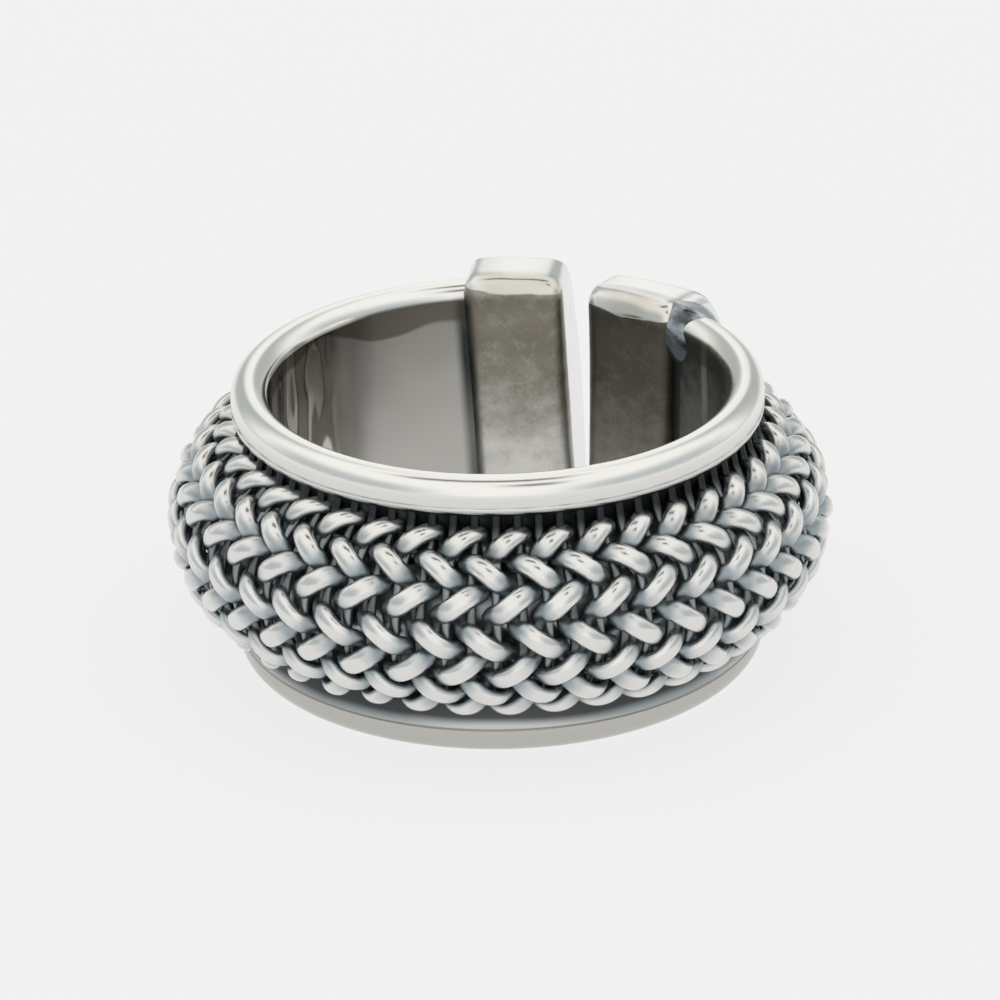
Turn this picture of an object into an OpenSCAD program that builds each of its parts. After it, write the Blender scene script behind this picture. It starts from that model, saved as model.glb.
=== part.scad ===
// Open band ring in silver: a flat plait of eight wires lies around a domed band,
// between two rolled rims, and a plain block closes the band at each side of a narrow gap.
// The ring lies on its lower rim. +Z is the axis of the finger hole, the gap faces +Y,
// and the origin is on that axis at the height of the lower rim's flat.
// Angles around the ring run from -Y towards +X.

/* [Band] */
// Radius of the finger hole
finger_r = 9.9; // [9:0.1:11.5]
// Height of the band over both rims
band_h = 12.5; // [12:0.1:14.5]
// Thickness of a rim, measured outwards
rim_t = 1.56; // [1.4:0.02:1.9]
// Height of a rim up to its inner shoulder
rim_h = 1.3; // [1.1:0.05:1.6]
// Width of the small flat on the crown of a rim
rim_flat = 0.3; // [0.2:0.05:0.6]
// Thickness of the band's wall beside the rims
wall_t = 0.9; // [0.7:0.05:1.1]
// Radius of the cove where a rim meets the wall
cove_r = 0.6; // [0.3:0.05:0.62]

/* [Plait] */
// Width of a wire
wire_w = 0.7; // [0.5:0.02:0.74]
// Thickness of a wire
wire_t = 0.54; // [0.4:0.02:0.58]
// Number of crossings along the plait, from one block to the other
crossings = 67; // [61:2:73]
// Depth by which a wire dips to pass under another
dip = 1; // [0.94:0.02:1.2]
// Angle between the middle row of stitches and the outermost rows
plait_spread = 56.5; // [54:0.5:58]
// Angle by which the whole plait sits higher than the middle of the band
plait_tilt = 4.5; // [2:0.5:5]
// Clearance between the plait and the band under it
plait_gap = 0.15; // [0.12:0.01:0.2]
// Clearance between the wires' ends and a block
end_gap = 0.35; // [0.25:0.05:0.6]

/* [End blocks] */
// Width of a block along the band
block_w = 4.2; // [3.6:0.1:4.8]
// Gap between the two blocks at half height
gap_w = 1.15; // [0.8:0.05:1.6]
// Distance by which a block stands inside the finger hole
block_in = 0.75; // [0.4:0.05:1]
// Distance by which a block stands over the upper rim
block_up = 0.45; // [0.2:0.05:0.6]
// Distance by which a block stands outside the plait
block_out = 0.35; // [0.15:0.05:0.6]
// Radius of the bulge on a block's outer face, seen from its side
block_bulge_r = 10.15; // [9.5:0.05:12]
// Radius of a block's rounded inner and outer edges
block_edge_r = 0.75; // [0.4:0.05:0.9]
// Radius of a block's side edges
block_side_r = 0.4; // [0.2:0.05:0.5]
// Angle by which the left block leans away from the gap
left_lean = 3; // [0:0.5:4]
// Angle by which the right block leans away from the gap
right_lean = 1; // [0:0.5:4]
// Width of the seam between a block and the band
seam = 0.1; // [0.05:0.01:0.15]

/* [Hidden] */

$fn = 96;
silver = [0.84, 0.84, 0.82];
satin = [0.56, 0.55, 0.51];
aged = [0.72, 0.74, 0.74];
// sides of a wire, and straight pieces in a block's rounded edge and in its bulge
wire_sides = 6;
edge_steps = 6;
bulge_steps = 8;
// a length past every edge, and an overlap that joins two outlines
reach = 40;
joined = 0.01;

mid_z = band_h / 2;
rim_mid_r = finger_r + rim_t / 2;
crown_drop = rim_t / 2 - sqrt(pow(rim_t / 2, 2) - pow(rim_flat / 2, 2));
crown_z = rim_t / 2 - crown_drop;

// Rows of stitches, top row first, as shares of the plait's spread.
ROW_SHARE = [1, 0.7, 0.37, 0, -0.37, -0.7, -1];
rows = len(ROW_SHARE);
cycle = 2 * (rows + 1);
// A wire turns back past the outermost rows: high under the upper rim, tucked in below.
top_past = 11;
low_past = 9;
top_turn = plait_tilt + plait_spread + top_past;
low_turn = plait_tilt - plait_spread - low_past;
top_out = 0.53;
low_in = 0.2;
plait_r = (mid_z - rim_h - plait_gap - wire_t / 2) / sin(top_turn) - top_out;
plait_mid_r = finger_r;
core_r = plait_r - dip - wire_t / 2 - plait_gap;
plait_out_r = plait_mid_r + plait_r + wire_t / 2;
// The visible stitch, measured each way from its middle: along in steps, across in degrees.
stitch_along = 0.6;
stitch_across = 7;
stitch_crown = 0.12;

block_r = finger_r - block_in;
block_out_r = plait_out_r + block_out;
block_top = band_h + block_up;
block_a = asin((block_w + gap_w) / 2 / finger_r);

// The plait fills the band from block to block, so its ends stand clear of each block's leaning top.
turn_r = plait_mid_r + (plait_r + top_out) * cos(top_turn);
function end_a(lean) = 180 - block_a
    - asin((block_w / 2 + end_gap + (band_h - rim_h - mid_z) * tan(lean)) / turn_r);
plait_start = -end_a(left_lean);
step_a = (end_a(right_lean) - plait_start) / crossings;

// Points of an arc that rounds the corner b between a and c.
function corner(a, b, c, r) =
    let (u = (a - b) / norm(a - b), v = (c - b) / norm(c - b), half = acos(u * v) / 2,
        mid = (u + v) / norm(u + v), o = b + mid * r / sin(half), p = b + u * r / tan(half) - o,
        turn = (180 - 2 * half) * sign(u[0] * v[1] - u[1] * v[0]))
    [for (i = [0 : edge_steps]) let (g = -turn * i / edge_steps)
        o + [p[0] * cos(g) - p[1] * sin(g), p[0] * sin(g) + p[1] * cos(g)]];

// Outline with each corner rounded by its own radius, in rows of [point, radius].
function rounded(list) =
    [for (i = [0 : len(list) - 1])
        let (n = len(list), r = list[i][1])
        each r == 0 ? [list[i][0]]
            : corner(list[(i + n - 1) % n][0], list[i][0], list[(i + 1) % n][0], r)];

// The band: one soldered piece of wall, domed core and two rolled rims.

module rim_outline() {
    intersection() {
        translate([rim_mid_r, crown_z]) circle(d = rim_t);
        translate([finger_r, 0]) square([rim_t, crown_z]);
    }
    translate([finger_r, crown_z]) square([rim_t, rim_h - crown_z]);
    difference() {
        translate([finger_r, rim_h - joined]) square([rim_t, cove_r + joined]);
        translate([finger_r + wall_t, rim_h + cove_r]) square([rim_t, cove_r]);
        translate([finger_r + wall_t + cove_r, rim_h + cove_r]) circle(r = cove_r);
        translate([finger_r + wall_t + cove_r, rim_h]) square([rim_t, cove_r]);
    }
}

module band_outline() {
    rim_outline();
    translate([0, band_h]) mirror([0, 1]) rim_outline();
    translate([finger_r, rim_h]) square([wall_t, band_h - 2 * rim_h]);
    intersection() {
        translate([plait_mid_r, mid_z]) circle(r = core_r);
        translate([finger_r, 0]) square([reach, band_h]);
    }
}

// What the blocks and the gap take out of the band, on one side of the gap.
module block_room(side, lean) {
    rotate([0, 0, side * block_a]) translate([0, 0, mid_z]) rotate([0, -side * lean, 0])
        translate([(side < 0 ? -reach / 4 : 0) - side * (block_w / 2 + seam), block_r - seam, -reach / 2])
            cube([reach / 4, reach / 4, reach]);
}

module shank() {
    color(silver) difference() {
        rotate_extrude() band_outline();
        block_room(1, left_lean);
        block_room(-1, right_lean);
    }
}

// An end block: a rounded bar over the whole height, flat inside and bulging outside.

function bulge_r(z) = block_out_r - block_bulge_r + sqrt(pow(block_bulge_r, 2) - pow(z - mid_z, 2));

module block_section() {
    polygon(rounded(concat(
        [[[block_r - block_edge_r, 0], 0], [[bulge_r(0), 0], block_edge_r]],
        [for (i = [1 : bulge_steps - 1]) let (z = block_top * i / bulge_steps) [[bulge_r(z), z], 0]],
        [[[bulge_r(block_top), block_top], block_edge_r], [[block_r - block_edge_r, block_top], 0]])));
}

module end_block(side, lean) {
    s = tan(lean);
    low = -mid_z * s;
    high = (block_top - mid_z) * s;
    w = block_w / 2;
    intersection() {
        rotate_extrude() block_section();
        rotate([0, 0, side * block_a]) rotate([90, 0, 0]) mirror([0, 0, 1]) linear_extrude(reach)
            scale([-side, 1]) polygon(rounded([[[low - w, 0], block_side_r], [[low + w, 0], block_side_r],
                [[high + w, block_top], block_side_r], [[high - w, block_top], block_side_r]]));
        rotate([0, 0, side * block_a]) rotate([90, 0, 90]) translate([0, 0, -reach / 2])
            linear_extrude(reach) polygon(rounded([[[block_r, 0], block_edge_r], [[reach, 0], 0],
                [[reach, block_top], 0], [[block_r, block_top], block_edge_r]]));
    }
}

module left_end_block() { color(satin) end_block(1, left_lean); }
module right_end_block() { color(satin) end_block(-1, right_lean); }

// The plait: each wire goes down and up through the rows, over and under by turns.

function row_angle(row) = plait_tilt + plait_spread * ROW_SHARE[row - 1];

// Points of a wire at one crossing, as [steps around, angle of the section, radius of the section].
function crossing(n, s) =
    s == 0 ? [[n, top_turn, plait_r + top_out]]
        : s == rows + 1 ? [[n, low_turn, plait_r - low_in]]
        : let (down = s <= rows, row = down ? s : cycle - s, a = row_angle(row),
            over = (row % 2 == 0) == down)
        !over ? [[n, a, plait_r - dip]]
        : [for (k = [-1 : 1]) [n + k * stitch_along, a + (down ? -k : k) * stitch_across,
            plait_r - abs(k) * stitch_crown]];

function wire_path(m) =
    [for (n = [0 : crossings]) each [for (k = crossing(n, (n + cycle - 2 * m) % cycle))
        if (k[0] >= 0 && k[0] <= crossings) k]];

function around(k) = plait_start + k[0] * step_a;
function out_r(k) = plait_mid_r + k[2] * cos(k[1]);
function up_z(k) = mid_z + k[2] * sin(k[1]);

function unit(v) = v / norm(v);
function spot(k) = [out_r(k) * sin(around(k)), -out_r(k) * cos(around(k)), up_z(k)];
function outward(k) = [cos(k[1]) * sin(around(k)), -cos(k[1]) * cos(around(k)), sin(k[1])];

module strand(m) {
    path = wire_path(m);
    last = len(path) - 1;
    points = [for (i = [0 : last])
        let (c = spot(path[i]), t = unit(spot(path[min(i + 1, last)]) - spot(path[max(i - 1, 0)])),
            side = unit(cross(t, outward(path[i]))), up = cross(side, t))
        for (j = [0 : wire_sides - 1]) let (g = 360 * j / wire_sides)
            c + side * cos(g) * wire_w / 2 + up * sin(g) * wire_t / 2];
    walls = [for (i = [0 : last - 1], j = [0 : wire_sides - 1])
        let (a = i * wire_sides + j, b = i * wire_sides + (j + 1) % wire_sides)
        each [[a, b, a + wire_sides], [b, b + wire_sides, a + wire_sides]]];
    lids = [[for (j = [wire_sides - 1 : -1 : 0]) j],
        [for (j = [0 : wire_sides - 1]) last * wire_sides + j]];
    color(aged) polyhedron(points, concat(walls, lids));
}

shank();
left_end_block();
right_end_block();
strand(1);  // strand_1
strand(2);  // strand_2
strand(3);  // strand_3
strand(4);  // strand_4
strand(5);  // strand_5
strand(6);  // strand_6
strand(7);  // strand_7
strand(8);  // strand_8
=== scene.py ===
import math
import random

import bpy
from mathutils import Matrix, Vector, noise


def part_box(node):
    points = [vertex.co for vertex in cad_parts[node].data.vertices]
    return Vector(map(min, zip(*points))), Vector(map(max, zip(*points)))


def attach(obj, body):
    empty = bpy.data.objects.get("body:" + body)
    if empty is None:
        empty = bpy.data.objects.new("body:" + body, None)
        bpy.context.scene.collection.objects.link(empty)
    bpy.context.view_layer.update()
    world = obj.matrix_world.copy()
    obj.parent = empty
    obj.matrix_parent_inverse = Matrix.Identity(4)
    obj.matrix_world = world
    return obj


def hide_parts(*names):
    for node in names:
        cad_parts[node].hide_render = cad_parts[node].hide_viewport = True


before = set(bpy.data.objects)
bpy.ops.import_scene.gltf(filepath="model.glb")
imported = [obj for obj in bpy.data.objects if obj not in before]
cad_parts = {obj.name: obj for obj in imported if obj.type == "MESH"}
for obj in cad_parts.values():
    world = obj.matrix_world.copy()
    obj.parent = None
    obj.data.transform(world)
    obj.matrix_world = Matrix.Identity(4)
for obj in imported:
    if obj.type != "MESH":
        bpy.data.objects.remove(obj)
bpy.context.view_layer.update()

MM = 0.001


# The band: one soldered piece of silver that goes round the finger.
# It is a plain wall with a rolled rim along each edge and a domed core in between, under the plait.
# It is polished all over; the channel between the rims is painted black where the plait meets the rims,
# as painted shade.

band_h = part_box("shank")[1].z
mid_z = band_h / 2
finger_r = 9.9 * MM
wall_t = 0.9 * MM
rim_t = 1.56 * MM
rim_h = 1.3 * MM
rim_flat = 0.3 * MM
rim_steps = 28
rim_line_w = 0.05 * MM
rim_line_depth = 0.02 * MM
rim_line_down = 0.125 * MM
rim_line_z = rim_h - rim_line_down
low_cove = ((1.52 * MM, -0.02 * MM), (1.4 * MM, 0.3 * MM), (1.25 * MM, 0.75 * MM),
            (1.05 * MM, 1.2 * MM))
top_cove = ((1.55 * MM, 0.06 * MM), (1.5 * MM, 0.14 * MM), (1.4 * MM, 0.22 * MM),
            (1.24 * MM, 0.42 * MM), (1.1 * MM, 0.8 * MM), (1 * MM, 1.2 * MM))
cove_foot = 0.2 * MM
core_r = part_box("shank")[1].x - finger_r
core_steps = 14
band_steps = 288
band_start = math.radians(11)
crease = math.radians(35)

# The blocks' places are needed here too, because the band is cut off along them.
block_w = 4.2 * MM
gap_w = 1.15 * MM
block_a = math.asin((block_w + gap_w) / 2 / finger_r)
left_lean = 3
right_lean = 1
left_far = 0.35 * MM
end_overlap = 0.05 * MM


def arc(centre_r, centre_z, radius, start, end, steps):
    """Points of an arc in a section, angles in degrees from outwards towards up."""
    turns = [math.radians(start + (end - start) * i / steps) for i in range(steps + 1)]
    return [(centre_r + radius * math.cos(a), centre_z + radius * math.sin(a)) for a in turns]


def half_section(cove):
    """Half of the band's section, from the inner wall under the rim to the top of the core."""
    rim_r = rim_t / 2
    rim_edge = finger_r + rim_t
    crown_z = math.sqrt(rim_r ** 2 - (rim_flat / 2) ** 2)
    roll = arc(finger_r + rim_r, crown_z, rim_r, 180, 360, rim_steps)
    points = [(finger_r, mid_z / 3 * 2)]
    points += [(r, max(z, 0)) for r, z in roll]
    points += [(rim_edge, rim_line_z - rim_line_w), (rim_edge - rim_line_depth, rim_line_z),
               (rim_edge, rim_line_z + rim_line_w)]
    points += [(finger_r + r, rim_h + z) for r, z in cove]
    points += [(finger_r + wall_t, rim_h + cove[-1][1] + cove_foot)]
    core_start = math.degrees(math.acos(wall_t / core_r))
    points += arc(finger_r, mid_z, core_r, -core_start, 0, core_steps)
    return points


def select_only(piece):
    """Leaves this piece alone selected and active."""
    bpy.ops.object.select_all(action="DESELECT")
    piece.select_set(True)
    bpy.context.view_layer.objects.active = piece


def new_piece(name, points, edges, faces):
    """A piece whose mesh has these points, edges and faces, already at its place."""
    mesh = bpy.data.meshes.new(name)
    mesh.from_pydata(points, edges, faces)
    piece = bpy.data.objects.new(name, mesh)
    bpy.context.scene.collection.objects.link(piece)
    select_only(piece)
    return piece


class Shade:
    """A socket of the material that is being made; arithmetic on it adds Math nodes."""

    def __init__(self, tree, socket=None):
        self.tree = tree
        self.socket = socket

    def node(self, kind, settings=None, sockets=None, output=0):
        """Adds a node of this kind: first its settings, then its sockets' values or links."""
        made = self.tree.nodes.new(kind)
        for name, value in (settings or {}).items():
            setattr(made, name, value)
        for name, value in (sockets or {}).items():
            if isinstance(value, Shade):
                self.tree.links.new(value.socket, made.inputs[name])
            else:
                made.inputs[name].default_value = value
        return Shade(self.tree, made.outputs[output])

    def math(self, operation, *others):
        """A Math node of this operation, with this socket first."""
        values = {i: value for i, value in enumerate((self, *others))}
        return self.node("ShaderNodeMath", {"operation": operation}, values)

    def __add__(self, other):
        return self.math("ADD", other)

    def __sub__(self, other):
        return self.math("SUBTRACT", other)

    def __rsub__(self, other):
        return self.node("ShaderNodeMath", {"operation": "SUBTRACT"}, {0: other, 1: self})

    def __mul__(self, other):
        return self.math("MULTIPLY", other)

    def __truediv__(self, other):
        return self.math("DIVIDE", other)

    __radd__ = __add__
    __rmul__ = __mul__

    def abs(self):
        return self.math("ABSOLUTE")

    def or_more(self, other):
        """The larger of two values."""
        return self.math("MAXIMUM", other)

    def between(self, low, high):
        """0 where the value is at low, 1 where it is at high, and a soft change in between."""
        limits = {"Value": self, "From Min": low, "From Max": high}
        return self.node("ShaderNodeMapRange", {"interpolation_type": "SMOOTHSTEP"}, limits)

    def mix(self, one, other):
        """A colour that goes from one to the other as this value goes from 0 to 1."""
        one, other = ((*c, 1) if isinstance(c, tuple) else c for c in (one, other))
        return self.node("ShaderNodeMix", {"data_type": "RGBA"}, {0: self, 6: one, 7: other}, 2)

    def coordinate(self, number):
        """One coordinate of a vector: 0 for X, 1 for Y and 2 for Z."""
        return self.node("ShaderNodeSeparateXYZ", None, {0: self}, number)

    def stretch(self, shares):
        """A vector with each coordinate multiplied by its share."""
        return self.node("ShaderNodeVectorMath", {"operation": "MULTIPLY"}, {0: self, 1: shares})

    def reach(self, way):
        """How far a vector goes in this direction."""
        return self.node("ShaderNodeVectorMath", {"operation": "DOT_PRODUCT"}, {0: self, 1: way}, 1)

    def length(self):
        """How long a vector is."""
        return self.node("ShaderNodeVectorMath", {"operation": "LENGTH"}, {0: self}, 1)

    def noise(self, size, detail):
        """Noise at these coordinates, about 0.5, with clouds of this size in metres."""
        wanted = {"Vector": self, "Scale": 1 / size, "Detail": detail}
        return self.node("ShaderNodeTexNoise", None, wanted)

    def place(self):
        """Object coordinates, and the height among them as a number."""
        at = self.node("ShaderNodeTexCoord", output=3)
        return at, at.coordinate(2)

    def metal(self, colour, roughness, height, depth):
        """Ends the material as a metal; height is a bump of this depth in metres."""
        shader = self.tree.nodes["Principled BSDF"]
        shader.inputs["Metallic"].default_value = 1
        bump = self.node("ShaderNodeBump", None, {"Height": height, "Distance": depth, "Strength": 1})
        for name, value in (("Base Color", colour), ("Roughness", roughness), ("Normal", bump)):
            self.tree.links.new(value.socket, shader.inputs[name])


def new_finish(name):
    """A new material, and the Shade to build it with."""
    finish = bpy.data.materials.new(name)
    finish.use_nodes = True
    return finish, Shade(finish.node_tree)


def beside_block(at, side, lean):
    """Distance from the middle of a block towards its far side, as a number in metres."""
    turn = side * block_a
    slope = math.tan(math.radians(lean))
    return at.reach((-side * math.cos(turn), -side * math.sin(turn), -slope)) + mid_z * slope


# The finish changes softly between pairs of limits: where a change begins and where it ends.
# These are measured out from the wall's inner face.
wall_face = (0.2 * MM, 0.02 * MM)
corner_face = (0.5 * MM, 0.3 * MM)
outer_face = (0.5 * MM, 0.7 * MM)
flank_face = (1.15 * MM, 1.35 * MM)
core_face = (1.5 * MM, 1.9 * MM)
# These are measured up or down from the middle of the band; a wave is how far an edge wanders.
wall_edge = (5.8 * MM, 5.5 * MM)
strip_edge = (4.6 * MM, 4.8 * MM)
strip_wave = 2.2 * MM
corner_edge = (6 * MM, 5.3 * MM)
flank_edge = (5.8 * MM, 5.4 * MM)
cove_edge = (5.05 * MM, 4.9 * MM)
low_black = (5.02 * MM, 4.6 * MM)
top_black = (4.9 * MM, 4.72 * MM)
black_wave = 0.3 * MM
core_edge = (4.6 * MM, 4.4 * MM)
# This is measured from the fine line on the lower rim.
line_edge = (0.08 * MM, 0.03 * MM)
# These are heights above the floor.
low_flank = (2 * MM, 1 * MM)
streak_rise = (7 * MM, 10 * MM)
# These are measured beside a block, from its middle.
dark_past_near = (1 * MM, 2 * MM)
dark_past_far = (1.9 * block_w, 1.4 * block_w)
streak_place = 4.4 * MM
streak_wave = 0.6 * MM
# These are measured from a block's far side and from the streak's own line.
corner_w = (0.6 * MM, 0.1 * MM)
streak_w = (0.34 * MM, 0.1 * MM)
# These are measured from the ring's axis, to the left or towards the gap.
corner_back = (6 * MM, 7 * MM)
dark_past_back = (0, 2 * MM)
dull_back = (2.8 * MM, 4 * MM)
ripple_left = (0, -6 * MM)
ripple_back = (5.5 * MM, 3 * MM)


def polished_silver():
    """Silver that is bright outside, duller inside, and painted black as painted shade in the channel,
    where the plait meets the rims.
    """
    bright = (0.86, 0.85, 0.82)
    stone = (0.53, 0.52, 0.49)
    brown = (0.22, 0.20, 0.17)
    grey = (0.51, 0.53, 0.53)
    black = (0.08, 0.085, 0.088)
    under = (0.42, 0.44, 0.44)
    shadow = (0.06, 0.065, 0.065)
    finish, shade = new_finish("polished silver")
    at, z = shade.place()
    x, y = at.coordinate(0), at.coordinate(1)
    out = at.stretch((1, 1, 0)).length() - finger_r
    off_mid = (z - mid_z).abs()
    above, below = z.between(mid_z, mid_z + 1 * MM), z.between(mid_z, mid_z - 1 * MM)
    cloud = at.noise(size=4 * MM, detail=1)
    fine = at.noise(size=0.5 * MM, detail=3)
    inside = out.between(*wall_face) * off_mid.between(*wall_edge)
    outside = out.between(*outer_face)

    # Inside: a brown strip under each rim, which is a painted reflection; painted shade in the corners;
    # a darker wall past the right block, with a painted reflection streak in it.
    # Painted reflection: a brown strip with a wavy edge under each rim.
    wave = strip_wave * (at.noise(size=4 * MM, detail=0.5) - 0.5)
    painted_reflection_strip = inside * (off_mid + wave).between(*strip_edge)
    left = beside_block(at, 1, left_lean)
    past = beside_block(at, -1, right_lean)
    # Painted shade in the corners where the wall meets the blocks' far sides.
    painted_corner_shade = ((left - block_w / 2 - left_far).abs().between(*corner_w)
               + (past - block_w / 2).abs().between(*corner_w))
    # Painted reflection: a bright streak that lightens the dark wall past the right block.
    painted_streak = (past - streak_place + streak_wave * (cloud - 0.5)).abs().between(*streak_w)
    # The wall is made darker past the right block.
    dark_past_block = past.between(*dark_past_far) * past.between(*dark_past_near) * (0.75 + 0.5 * fine)
    dark_past_block = dark_past_block * (1 - 0.7 * painted_streak * z.between(*streak_rise))
    tarnish_and_shade = painted_corner_shade * y.between(*corner_back) + dark_past_block * y.between(*dark_past_back)
    tarnish_and_shade = tarnish_and_shade * off_mid.between(*corner_edge) * out.between(*corner_face) * (0.4 + 0.9 * cloud)

    # Outside: a duller flank, painted darker on the lower rim and down to the floor as painted shade, a
    # fine line on the lower rim, and black where the plait begins, as painted shade.
    rolled = off_mid.between(*flank_edge).or_more(z.between(*low_flank))
    flank = out.between(*flank_face) * rolled
    low_rim = z.between(mid_z, rim_h)
    line = flank * low_rim * (off_mid - (mid_z - rim_line_z)).abs().between(*line_edge)
    # Painted shade: black where the plait meets each rim, a little less at the top.
    low_land = (off_mid + black_wave * (cloud - 0.5)).between(*low_black) * below
    land = (0.88 * above * off_mid.between(*top_black)).or_more(low_land) * outside
    core = out.between(*core_face) * off_mid.between(*core_edge)

    # Painted shade: the flank is darkest on the lower rim and down to the floor; the upper flank keeps a
    # little of the duller tone.
    colour = (0.95 * inside + flank * (0.3 + 0.7 * low_rim)).mix(bright, stone)
    colour = (outside * off_mid.between(*cove_edge)).mix(colour, grey)
    colour = (0.9 * painted_reflection_strip).or_more(0.7 * line).mix(colour, brown)
    # Painted shade in the corners, and the wall made darker past the right block.
    colour = tarnish_and_shade.mix(colour, shadow)
    # The painted black shade goes on here, and the core under the plait is grey.
    colour = core.mix(land.mix(colour, black), under)
    roughness = 0.18 - inside * (0.1 - 0.27 * y.between(*dull_back)) + 0.08 * fine * cloud + 0.2 * land
    ripple = at.stretch((1, 1, 0.4)).noise(size=2 * MM, detail=0.5)
    ripple = ripple * x.between(*ripple_left) * y.between(*ripple_back) * inside
    shade.metal(colour, roughness, height=cloud + 0.004 * fine + 9 * ripple, depth=0.06 * MM)
    return finish


def cut_end(piece, side, lean):
    """Cuts the band off along the far side of a block, on one side of the gap."""
    turn = Matrix.Rotation(side * block_a, 4, "Z") @ Matrix.Rotation(-side * math.radians(lean), 4, "Y")
    away = turn @ Vector((-side, 0, 0))
    through = Vector((0, 0, mid_z)) + away * (block_w / 2 - end_overlap)
    select_only(piece)
    bpy.ops.object.mode_set(mode="EDIT")
    bpy.ops.mesh.select_all(action="DESELECT")
    bpy.ops.object.mode_set(mode="OBJECT")
    for face in piece.data.polygons:
        face.select = face.center.y > 0 and face.center.x * side < 0
    bpy.ops.object.mode_set(mode="EDIT")
    bpy.ops.mesh.bisect(plane_co=through, plane_no=away, use_fill=True, clear_inner=True)
    bpy.ops.object.mode_set(mode="OBJECT")


upper_half = [(r, band_h - z) for r, z in reversed(half_section(top_cove)[:-1])]
section = half_section(low_cove) + upper_half
points = [(r * math.sin(band_start), r * math.cos(band_start), z) for r, z in section]
edges = [(i, (i + 1) % len(points)) for i in range(len(points))]
band = new_piece("band", points, edges, [])
bpy.ops.object.mode_set(mode="EDIT")
bpy.ops.mesh.select_all(action="SELECT")
bpy.ops.mesh.spin(steps=band_steps, angle=2 * (math.pi - band_start), center=(0, 0, 0), axis=(0, 0, 1))
bpy.ops.mesh.select_all(action="SELECT")
bpy.ops.mesh.normals_make_consistent(inside=False)
bpy.ops.object.mode_set(mode="OBJECT")
cut_end(band, 1, left_lean)
cut_end(band, -1, right_lean)
bpy.ops.object.shade_smooth_by_angle(angle=crease)
band.data.materials.append(polished_silver())
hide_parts("shank")
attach(band, "root")


# The end blocks: two plain silver bars that close the band and the plait at each side of the gap.
# Each is filed by hand: flat inside, polished and rounded on top, bulging outside, leaning from the gap.
# They are fixed with solder, and drops of it show where the rims meet the blocks' far sides.

block_r = finger_r - 0.75 * MM
block_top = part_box("left_end_block")[1].z
block_edge = 0.66 * MM
block_cuts = 31
bulge_r = 10.15 * MM
bulge_out = 14.75 * MM

# How each block differs from the plain bar: its width to both sides, and how its top is filed.
# The top drops more towards the far side and falls less there, by these shares.
left_gap = -0.12 * MM
right_gap = 0.28 * MM
right_skew = 0.3
right_fall = 0.16
skew_depth = 3 * MM
fall_loss = 0.6
left_drop = 0.38 * MM
right_drop = 0.66 * MM
drop_share, drop_gain = 0.8, 0.4
top_slope = 1.9 * MM
crown = 0.16 * MM
facets = {1: 0.35 * MM, -1: 0.45 * MM}
facet_share = 0.45
wave_size = 1.6 * MM
wave_shift = 5
top_wave = 0.2 * MM
face_wave = 0.05 * MM

# The upper end of the tarnish at the gap side and at the far side, and its other limits.
tarnish_top = {1: (12.5 * MM, 12.46 * MM), -1: (12.08 * MM, 12.2 * MM)}
tarnish_edge = (0.05 * MM, -0.05 * MM)
tarnish_wave = 0.9 * MM
tarnish_grain = 0.15 * MM
tarnish_fade = (9.5 * MM, 3.5 * MM)
fade_wave = 3.5 * MM
inner_face = (0.75 * MM, 0.6 * MM)
worn_face = (1.3 * MM, 0.5 * MM)
side_face = (1.1 * MM, 0.7 * MM)
side_edge = (block_w / 2 - 0.2 * MM, block_w / 2 + 0.2 * MM)
side_top = (12.4 * MM, 11.6 * MM)


def bulge(z):
    """Distance of a block's outer face from the ring's axis, at a height."""
    return bulge_out - bulge_r + math.sqrt(bulge_r ** 2 - (z - mid_z) ** 2)


def rounded_box(p, size, edge):
    """A cube's point, from -1 to 1 each way, moved to a box of this size with rounded edges."""
    box_point = Vector(a * b / 2 for a, b in zip(p, size))
    core = Vector(max(-b / 2 + edge, min(b / 2 - edge, a)) for a, b in zip(box_point, size))
    off = box_point - core
    return core + off.normalized() * edge if off.length > 0 else box_point


def satin_silver(side, lean):
    """A block's silver: polished, with tarnish on the inner face, and painted shade that makes the right
    block's face darker.
    """
    bright = (0.85, 0.855, 0.835)
    cream = (0.62, 0.58, 0.50)
    # Tarnish colours; the right block's are darker as painted shade.
    brown = (0.36, 0.335, 0.285) if side > 0 else (0.135, 0.125, 0.105)
    stone = (0.74, 0.73, 0.69) if side > 0 else (0.27, 0.262, 0.235)
    black = (0.07, 0.075, 0.075)
    finish, shade = new_finish("satin silver")
    at, z = shade.place()
    depth = at.reach((-math.sin(side * block_a), math.cos(side * block_a), 0)) - block_r
    beside = beside_block(at, side, lean)
    cloud = at.noise(size=2.6 * MM, detail=1.5)
    grain = at.noise(size=0.7 * MM, detail=5)
    speck = at.noise(size=0.14 * MM, detail=2)

    gap_z, far_z = tarnish_top[side]
    over = z - (gap_z + (far_z - gap_z) * (0.5 + beside / block_w))
    over = over + tarnish_wave * (cloud - 0.5) + tarnish_grain * (grain - 0.5)
    inner = depth.between(*inner_face) * over.between(*tarnish_edge)
    low = (z + fade_wave * (cloud - 0.5)).between(*tarnish_fade)
    tarnish_and_shade = (low + 1.2 * (grain - 0.5) + 0.6 * (speck - 0.5)).mix(brown, stone)
    # Painted shade along the block's far side edge on its inner face, below the top, where it meets the
    # band.
    seam_shade = beside.between(*side_edge) * depth.between(*side_face) * z.between(*side_top)
    worn = 0.8 * depth.between(*worn_face) * cloud.between(0.3, 0.7)

    colour = inner.mix(worn.mix(bright, cream), tarnish_and_shade)
    # The painted shade at the joint goes on here.
    colour = (seam_shade * (0.5 + 0.8 * cloud)).mix(colour, black)
    roughness = 0.2 + inner * (0.16 + 0.16 * speck) + 0.1 * seam_shade
    uneven = cloud + inner * (0.2 * grain + 0.02 * speck)
    shade.metal(colour, roughness, height=uneven, depth=0.12 * MM)
    return finish


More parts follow.
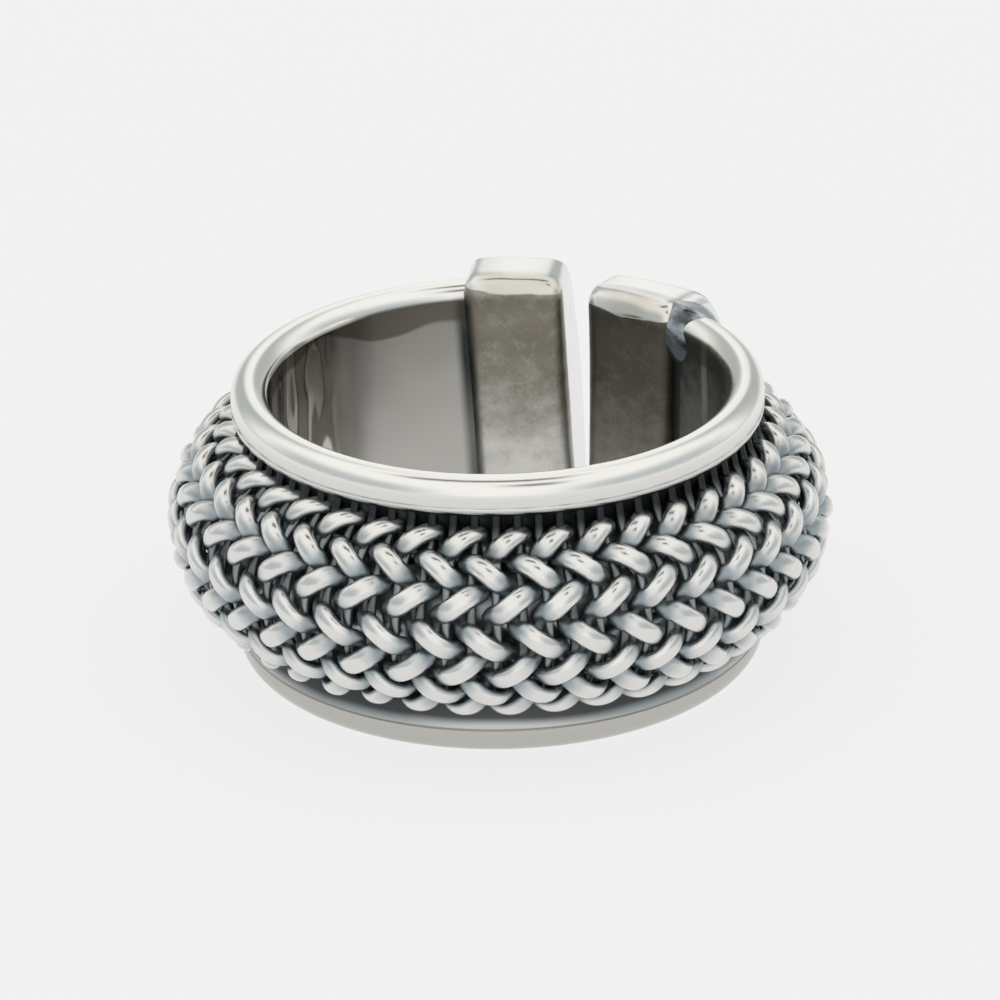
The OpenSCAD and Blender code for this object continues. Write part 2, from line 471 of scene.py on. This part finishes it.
def end_block(name, node, side, lean, far, gap, skew, fall, drop):
    """One block, made from a cube: rounded, filed, bulged, leant and turned to its place."""
    bpy.ops.object.select_all(action="DESELECT")
    bpy.ops.mesh.primitive_cube_add(size=2, location=(0, 0, 0))
    block = bpy.context.object
    block.name = name
    bpy.ops.object.mode_set(mode="EDIT")
    bpy.ops.mesh.subdivide(number_cuts=block_cuts)
    bpy.ops.object.mode_set(mode="OBJECT")
    depth = bulge_out - block_r
    facet = facets[side]
    turn = Matrix.Rotation(side * block_a, 3, "Z")
    for vertex in block.data.vertices:
        p = rounded_box(vertex.co, (block_w + far + gap, depth, block_top), block_edge)
        along, into, z = p.x + side * (gap - far) / 2, p.y + depth / 2, p.z + block_top / 2
        far_share = 0.5 - side * along / block_w
        wave = noise.noise(Vector((along, into, z)) / wave_size + Vector((side * wave_shift, 0, 0)))
        filed = drop * (drop_share + drop_gain * far_share) + top_wave * wave
        z *= 1 - filed / block_top * max(0, 1 - into / top_slope) ** 2
        z += crown * (z / block_top) ** 4 * (1 - (2 * far_share - 1) ** 2)
        r = block_r + into * (bulge(z) - block_r) / depth
        near_top = max(0, 1 - (block_top - z) / facet)
        r += (facet * near_top ** 2 * facet_share + wave * face_wave) * max(0, 1 - into / facet)
        along += skew * min(into, skew_depth) * (1 - far_share)
        z -= fall * min(into, skew_depth) * (z / block_top) ** 4 * (1 - fall_loss * far_share)
        along -= side * (z - mid_z) * math.tan(math.radians(lean))
        vertex.co = turn @ Vector((along, r, z))
    bpy.ops.object.shade_smooth()
    block.data.materials.append(satin_silver(side, lean))
    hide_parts(node)
    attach(block, "root")


end_block("left_block", "left_end_block", side=1, lean=left_lean,
          far=left_far, gap=left_gap, skew=0, fall=0, drop=left_drop)
end_block("right_block", "right_end_block", side=-1, lean=right_lean,
          far=0, gap=right_gap, skew=-right_skew, fall=right_fall, drop=right_drop)

# Each drop of solder: its height, and its half sizes along the block, outwards and up.
left_top_z, left_top_size = 11.65 * MM, (0.75 * MM, 0.95 * MM, 0.85 * MM)
right_top_z, right_top_size = 11.35 * MM, (1.9 * MM, 1.18 * MM, 1.5 * MM)
bottom_z = 0.8 * MM
left_bottom_size = (0.5 * MM, 0.7 * MM, 0.6 * MM)
right_bottom_size = (0.35 * MM, 0.7 * MM, 0.6 * MM)
solder_uneven = 0.14
solder_lumps = 1.2
solder_pits = (0.3, 0.65)
# Heights where the solder's painted shade gives way to grey: dark below, grey above.
solder_shade_fade = (10.9 * MM, 12 * MM)


def grey_solder():
    """Solder: dark in its pits, painted dark low down and grey on top as painted shade, and shiny."""
    dark = (0.07, 0.08, 0.09)
    pale = (0.5, 0.54, 0.58)
    finish, shade = new_finish("solder")
    at, z = shade.place()
    pits = at.noise(size=0.9 * MM, detail=3)
    # Painted shade: dark in the pits and low down, grey on top.
    colour = (pits.between(*solder_pits) * z.between(*solder_shade_fade)).mix(dark, pale)
    shade.metal(colour, roughness=0.16 + 0.15 * pits, height=pits, depth=0.05 * MM)
    return finish


def solder(name, side, lean, z, size):
    """A drop of solder at a block's far side, round the end of a rim: a flattened, uneven ball."""
    bpy.ops.object.select_all(action="DESELECT")
    bpy.ops.mesh.primitive_uv_sphere_add(segments=48, ring_count=24, radius=1, location=(0, 0, 0))
    drop = bpy.context.object
    drop.name = name
    turn = Matrix.Rotation(side * block_a, 3, "Z")
    block_x = block_w / 2 + (z - mid_z) * math.tan(math.radians(lean))
    rim_y = math.sqrt((finger_r + rim_t / 2) ** 2 - block_w ** 2 / 4)
    for vertex in drop.data.vertices:
        seed = vertex.co * solder_lumps + Vector((z / MM, side, 0))
        p = vertex.co * (1 + solder_uneven * noise.noise(seed))
        place = (-side * (block_x + p.x * size[0]), rim_y + p.y * size[1], z + p.z * size[2])
        vertex.co = turn @ Vector(place)
    if side > 0:
        drop.data.flip_normals()
    bpy.ops.object.shade_smooth()
    drop.data.materials.append(solder_finish)
    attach(drop, "root")


solder_finish = grey_solder()
solder("solder_left_top", 1, left_lean, left_top_z, left_top_size)
solder("solder_right_top", -1, right_lean, right_top_z, right_top_size)
solder("solder_left_bottom", 1, left_lean, bottom_z, left_bottom_size)
solder("solder_right_bottom", -1, right_lean, bottom_z, right_bottom_size)


# The plait: eight flattened silver wires, plaited in seven rows of stitches and wrapped round the core.
# Thin upright wires, soldered to both rims, stand behind the stitches and show between the rows.
# All of it is blackened and then rubbed bright on top, so that the hollows stay dark; under the upper
# rim the wires are also painted dark as painted shade.

# The rows, from the top down: place from the middle in shares of the spread, and how far out in mm.
row_share = (1.06, 0.72, 0.375, -0.03, -0.39, -0.73, -1.07)
row_out = (0.1, 0.02, 0, 0, 0, 0.02, 0.1)
rows = len(row_share)
wires = rows + 1
crossings = 67
# In one cycle of crossings a wire goes down through all rows and up again, and turns past the outer two.
cycle = 2 * (rows + 1)
spread = 56.5
tilt = 4.5
top_turn = tilt + spread + 2
low_turn = tilt - spread - 2
# How far the rows sink at the right of the front and rise at its left, in degrees, more near the top.
drift = 2.4
top_drift = 0.6
drift_front = math.radians(23.45)

# A stitch: crossings along it, how far it dips in mm, how flat it is and how worn.
stitch = ((-0.86, 0.58, 0.7, 0), (-0.48, 0.15, 1, 0.68), (0, 0, 1, 1), (0.48, 0.15, 1, 0.68),
          (0.86, 0.58, 0.7, 0))
# Degrees of slope to a crossing, and the sizes of a wire at a stitch and where it dips under another.
stitch_slope = 11
stitch_in = 0.08 * MM
stitch_w = 0.92 * MM
stitch_t = 0.74 * MM
wire_w = 0.5 * MM
wire_t = 0.4 * MM
dip = 1.08 * MM
belly = 0.4
squareness = 0.9
# How far a point may be out of place, as plaiting by hand leaves it: in crossings, degrees and depth.
hand_shift = (0.05, 0.8, 0.03 * MM)
ring_sides = 16
steps_a_crossing = 12
into_block = 0.3 * MM

# The plait's middle line and ends are those of the solids.
cad_top_turn = tilt + spread + 11
cad_top_out = 0.53 * MM
cad_wire_t = 0.54 * MM
plait_gap = 0.15 * MM
end_gap = 0.35 * MM
plait_top = mid_z - rim_h - plait_gap - cad_wire_t / 2
plait_r = plait_top / math.sin(math.radians(cad_top_turn)) - cad_top_out

rib_d = 0.42 * MM
rib_r = plait_r - 0.54 * MM
rib_top = ((1.16 * MM, 5.05 * MM), (1.16 * MM, 4.6 * MM), (1.28 * MM, 4.1 * MM), (1.56 * MM, 3.6 * MM))
rib_bottom = ((1.5 * MM, -3.1 * MM), (1.1 * MM, -3.2 * MM))
rib_start, rib_end = 57, -50
rib_steps = 18
rib_shift = 0.43
rib_wear = (-0.05, -0.18)


def end_angle(lean):
    """Angle around the ring, from the front, at which the CAD's wires end on one side."""
    rise = (band_h - rim_h - mid_z) * math.tan(math.radians(lean))
    turn_r = finger_r + (plait_r + cad_top_out) * math.cos(math.radians(cad_top_turn))
    return math.pi - block_a - math.asin((block_w / 2 + end_gap + rise) / turn_r)


plait_start = -end_angle(left_lean)
step_a = (end_angle(right_lean) - plait_start) / crossings


def knots(m):
    """A wire's points: crossings around, angle and radius of the section, width, thickness, wear."""
    hand = random.Random(m)
    path = []
    for n in range(-3, crossings + 4):
        s = (n - 2 * m) % cycle
        nudge = Vector((*(hand.uniform(-most, most) for most in hand_shift), 0, 0, 0))
        if s in (0, rows + 1):
            path.append(Vector((n, low_turn if s else top_turn, plait_r - dip, wire_w, wire_t, 0)))
            continue
        down = s <= rows
        row = s if down else cycle - s
        angle = tilt + spread * row_share[row - 1]
        if (row % 2 == 0) != down:
            path.append(Vector((n, angle, plait_r - dip, wire_w, wire_t, 0)) + nudge)
            continue
        for along, drop, flat, wear in stitch:
            lift = -along if down else along
            size = (wire_w + (stitch_w - wire_w) * flat, wire_t + (stitch_t - wire_t) * flat)
            r = plait_r - stitch_in + (row_out[row - 1] - drop) * MM
            path.append(Vector((n + along, angle + lift * stitch_slope, r, *size, wear)) + nudge)
    return path


def smooth_path(path):
    """A smooth line through the knots, a few points to each crossing."""
    line = []
    for i in range(1, len(path) - 2):
        a, b, c, d = path[i - 1:i + 3]
        steps = max(2, round((c[0] - b[0]) * steps_a_crossing))
        into = (c - a) * ((c[0] - b[0]) / (c[0] - a[0]))
        out = (d - b) * ((c[0] - b[0]) / (d[0] - b[0]))
        for j in range(steps):
            t = j / steps
            line.append((2 * t ** 3 - 3 * t ** 2 + 1) * b + (t ** 3 - 2 * t ** 2 + t) * into
                        + (3 * t ** 2 - 2 * t ** 3) * c + (t ** 3 - t ** 2) * out)
    return line


def in_ring(k):
    """A knot's place in the ring and its direction out of the plait."""
    g = plait_start + k[0] * step_a
    near_top = max(0, (k[1] - tilt) / spread) ** 4
    a = math.radians(k[1] - (drift + top_drift * near_top) * math.sin(g - drift_front))
    r = finger_r + k[2] * math.cos(a)
    out = Vector((math.cos(a) * math.sin(g), -math.cos(a) * math.cos(g), math.sin(a)))
    return Vector((r * math.sin(g), -r * math.cos(g), mid_z + k[2] * math.sin(a))), out


def past_block(p):
    """How far a point is inside the nearer block's far side, in metres; below zero outside it."""
    side, lean = (1, left_lean) if p.x < 0 else (-1, right_lean)
    turned = Matrix.Rotation(-side * block_a, 3, "Z") @ p
    along = turned.x * -side - (p.z - mid_z) * math.tan(math.radians(lean))
    return block_w / 2 - along if p.y > 0 else -1


def tubes(name, lines):
    """Wires as one piece: each line's points have a place, a way out, width, thickness and wear."""
    points, faces, crests, wears = [], [], [], []
    for line in lines:
        first = len(points)
        for i, (p, out, width, thickness, wear) in enumerate(line):
            ahead = (line[min(i + 1, len(line) - 1)][0] - line[max(i - 1, 0)][0]).normalized()
            side = ahead.cross(out).normalized()
            up = side.cross(ahead)
            for j in range(ring_sides):
                a = 2 * math.pi * j / ring_sides
                x, y = (math.copysign(abs(v) ** squareness, v) for v in (math.cos(a), math.sin(a)))
                y *= 1 if y > 0 else belly
                points.append(p + side * x * width / 2 + up * y * thickness / 2)
                crests.append(math.sin(a))
                wears.append(wear)
        for k in range(first, len(points) - ring_sides, ring_sides):
            for j in range(ring_sides):
                after = (j + 1) % ring_sides
                faces.append((k + j, k + ring_sides + j, k + ring_sides + after, k + after))
        faces += [tuple(range(first, first + ring_sides)),
                  tuple(range(len(points) - 1, len(points) - ring_sides - 1, -1))]
    piece = new_piece(name, points, [], faces)
    for kind, values in (("crest", crests), ("wear", wears)):
        piece.data.attributes.new(kind, "FLOAT", "POINT").data.foreach_set("value", values)
    bpy.ops.object.shade_smooth()
    return piece


def plait_line(m):
    """A plaited wire's points, from just inside one block to just inside the other."""
    line = [(*in_ring(k), *k[3:]) for k in smooth_path(knots(m))]
    return [k for k in line if past_block(k[0]) < into_block]


def rib_line(n):
    """An upright wire's points, from the upper rim over the core to its lower edge."""
    section = [(finger_r + r, mid_z + z) for r, z in rib_top]
    section += arc(finger_r, mid_z, rib_r, rib_start, rib_end, rib_steps)
    section += [(finger_r + r, mid_z + z) for r, z in rib_bottom]
    g = plait_start + (n + rib_shift) * step_a
    line = []
    for i, (r, z) in enumerate(section):
        (r0, z0), (r1, z1) = section[max(i - 1, 0)], section[min(i + 1, len(section) - 1)]
        out = Vector(((z0 - z1) * math.sin(g), -(z0 - z1) * math.cos(g), r1 - r0))
        place = Vector((r * math.sin(g), -r * math.cos(g), z))
        line.append((place, out, rib_d, rib_d, rib_wear[n % 2]))
    return line


# How worn and how near its crest a wire is where each of its colours begins and ends.
rubbed_wear, rubbed_crest = (0.38, 0.98), (-0.1, 0.6)
blue_wear, blue_crest = (-0.1, 0.4), (-0.35, 0.35)
blue_edge = (4.2 * MM, 2.9 * MM)
# Where the wires turn dark under the upper rim, as painted shade.
rim_shade_edge = (3.3 * MM, 4.3 * MM)
rim_shade_wear = (0.6, 0.3)
deep_soot_wear = (0, -0.35)
wear_wave = 0.35


def oxidised_wire():
    """Silver wire that is black in the hollows, bluish at the sides, rubbed bright on top, and painted
    dark under the upper rim as painted shade.
    """
    worn = (0.79, 0.78, 0.755)
    blue = (0.36, 0.41, 0.43)
    black = (0.32, 0.345, 0.35)
    black_oxide_and_shade = (0.035, 0.04, 0.042)
    finish, shade = new_finish("oxidised wire")
    at, z = shade.place()
    crest = shade.node("ShaderNodeAttribute", {"attribute_name": "crest"}, None, 2)
    wear = shade.node("ShaderNodeAttribute", {"attribute_name": "wear"}, None, 2)
    cloud = at.noise(size=0.8 * MM, detail=3)
    fine = at.noise(size=0.12 * MM, detail=3)
    level = wear + wear_wave * (cloud - 0.5)
    rubbed = level.between(*rubbed_wear) * crest.between(*rubbed_crest)
    bluish = level.between(*blue_wear) * crest.between(*blue_crest)
    bluish = bluish * (z - mid_z).abs().between(*blue_edge)
    # Painted shade under the upper rim, joined with the black oxide in the deepest hollows.
    oxide_and_shade = (z - mid_z).between(*rim_shade_edge) * level.between(*rim_shade_wear)
    oxide_and_shade = oxide_and_shade.or_more(level.between(*deep_soot_wear))
    colour = rubbed.mix(bluish.mix(oxide_and_shade.mix(black, black_oxide_and_shade), blue), worn)
    roughness = 0.15 + 0.2 * (1 - rubbed) + 0.08 * fine
    shade.metal(colour, roughness, height=fine, depth=0.005 * MM)
    return finish


wire_finish = oxidised_wire()
for m in range(1, wires + 1):
    wire = tubes(f"wire_{m}", [plait_line(m)])
    wire.data.materials.append(wire_finish)
    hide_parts(f"strand_{m}")
    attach(wire, "root")

lines = [rib_line(n) for n in range(-1, crossings + 1)]
ribs = tubes("upright_wires", [line for line in lines if past_block(line[len(line) // 2][0]) < -rib_d])
ribs.data.materials.append(wire_finish)
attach(ribs, "root")


# The floor: a large plain sheet of pale paper on which the ring lies.
# It glows a little, as painted light, so that the shadows on it stay faint.

floor_size = 3
paper_grey = (0.13, 0.13, 0.13, 1)
paper_glow = 0.77
bpy.ops.object.select_all(action="DESELECT")
bpy.ops.mesh.primitive_plane_add(size=floor_size, location=(0, 0, 0))
floor = bpy.context.object
floor.name = "floor"
paper, shade = new_finish("pale paper")
sheet = paper.node_tree.nodes["Principled BSDF"]
sheet.inputs["Base Color"].default_value = paper_grey
sheet.inputs["Roughness"].default_value = 0.9
sheet.inputs["Specular IOR Level"].default_value = 0
# Painted light: the paper's glow keeps the shadows on it faint.
sheet.inputs["Emission Color"].default_value = (1, 1, 1, 1)
sheet.inputs["Emission Strength"].default_value = paper_glow
floor.data.materials.append(paper)


# The light: a soft white tent with greyer side flaps and far wall, and a grey horizon behind the ring.
# Overhead it has two small dark openings, which show as dashes on each polished stitch.

camera_turn = math.radians(23.45)
tent_white = (1.04, 1.03, 1.01)
tent_far = (0.47, 0.50, 0.48)
tent_flap = (0.56, 0.60, 0.62)
tent_horizon = (0.62, 0.63, 0.64)
tent_dark = (0.02, 0.02, 0.02)
# Where each part of the tent begins and ends: to the side, away from the viewer and up.
flap_side, flap_back, flap_rise = (0.25, 0.75), (0.6, 0), (0.8, 0.35)
far_side, far_back = (0, 0.3), (0.45, 0.8)
horizon_back, horizon_rise = (-0.5, 0.1), (0.15, 0)
opening_rise = (0, 0.3)
# Each opening's centre and size, to the right and away from the viewer, in shares of the tent's radius.
back_opening = ((-0.05, 0.12), (0.55, 0.2))
front_opening = ((0.18, -0.42), (0.26, 0.2))
opening_blur = 0.05


def opening(across, ahead, centre, size):
    """1 in a dark opening of the tent and 0 outside it."""
    masks = [(value - middle).abs().between(width / 2 + opening_blur, width / 2 - opening_blur)
             for value, middle, width in zip((across, ahead), centre, size)]
    return masks[0] * masks[1]


tent = bpy.data.worlds.new("light tent")
bpy.context.scene.world = tent
tent.use_nodes = True
way = Shade(tent.node_tree).node("ShaderNodeTexCoord", output=0)
x, y, z = way.coordinate(0), way.coordinate(1), way.coordinate(2)
across = math.cos(camera_turn) * x + math.sin(camera_turn) * y
ahead = math.cos(camera_turn) * y - math.sin(camera_turn) * x
flaps = across.abs().between(*flap_side) * z.between(*flap_rise) * ahead.between(*flap_back)
far = ahead.between(*far_back) * across.abs().between(*far_side)
horizon = z.between(*horizon_rise) * ahead.between(*horizon_back)
dark = opening(across, ahead, *back_opening) + opening(across, ahead, *front_opening)
walls = flaps.mix(far.mix(tent_white, tent_far), tent_flap)
walls = horizon.mix(walls, tent_horizon)
walls = (dark * z.between(*opening_rise)).mix(walls, tent_dark)
background = tent.node_tree.nodes["Background"]
tent.node_tree.links.new(walls.socket, background.inputs["Color"])
bpy.context.scene.view_settings.view_transform = "Standard"


# The camera: at the height of a seated viewer, a little to the right of the stitches' seam.
# Its place and lens come from fitting the ellipses of both rims.

camera_rise = math.radians(24.647)
camera_roll = math.radians(-1)
camera_far = 220 * MM
aim_side = 0.026 * MM
aim_z = 6.506 * MM
lens = bpy.data.cameras.new("camera")
lens.sensor_width = 36
lens.lens = 182.68
camera = bpy.data.objects.new("camera", lens)
bpy.context.scene.collection.objects.link(camera)
right = Vector((math.cos(camera_turn), math.sin(camera_turn), 0))
back = Vector((math.sin(camera_turn) * math.cos(camera_rise),
               -math.cos(camera_turn) * math.cos(camera_rise), math.sin(camera_rise)))
up = back.cross(right)
across = right * math.cos(camera_roll) + up * math.sin(camera_roll)
turned = Matrix((across, back.cross(across), back)).transposed().to_4x4()
aim = right * aim_side + Vector((0, 0, aim_z))
camera.matrix_world = Matrix.Translation(aim + back * camera_far) @ turned
bpy.context.scene.camera = camera
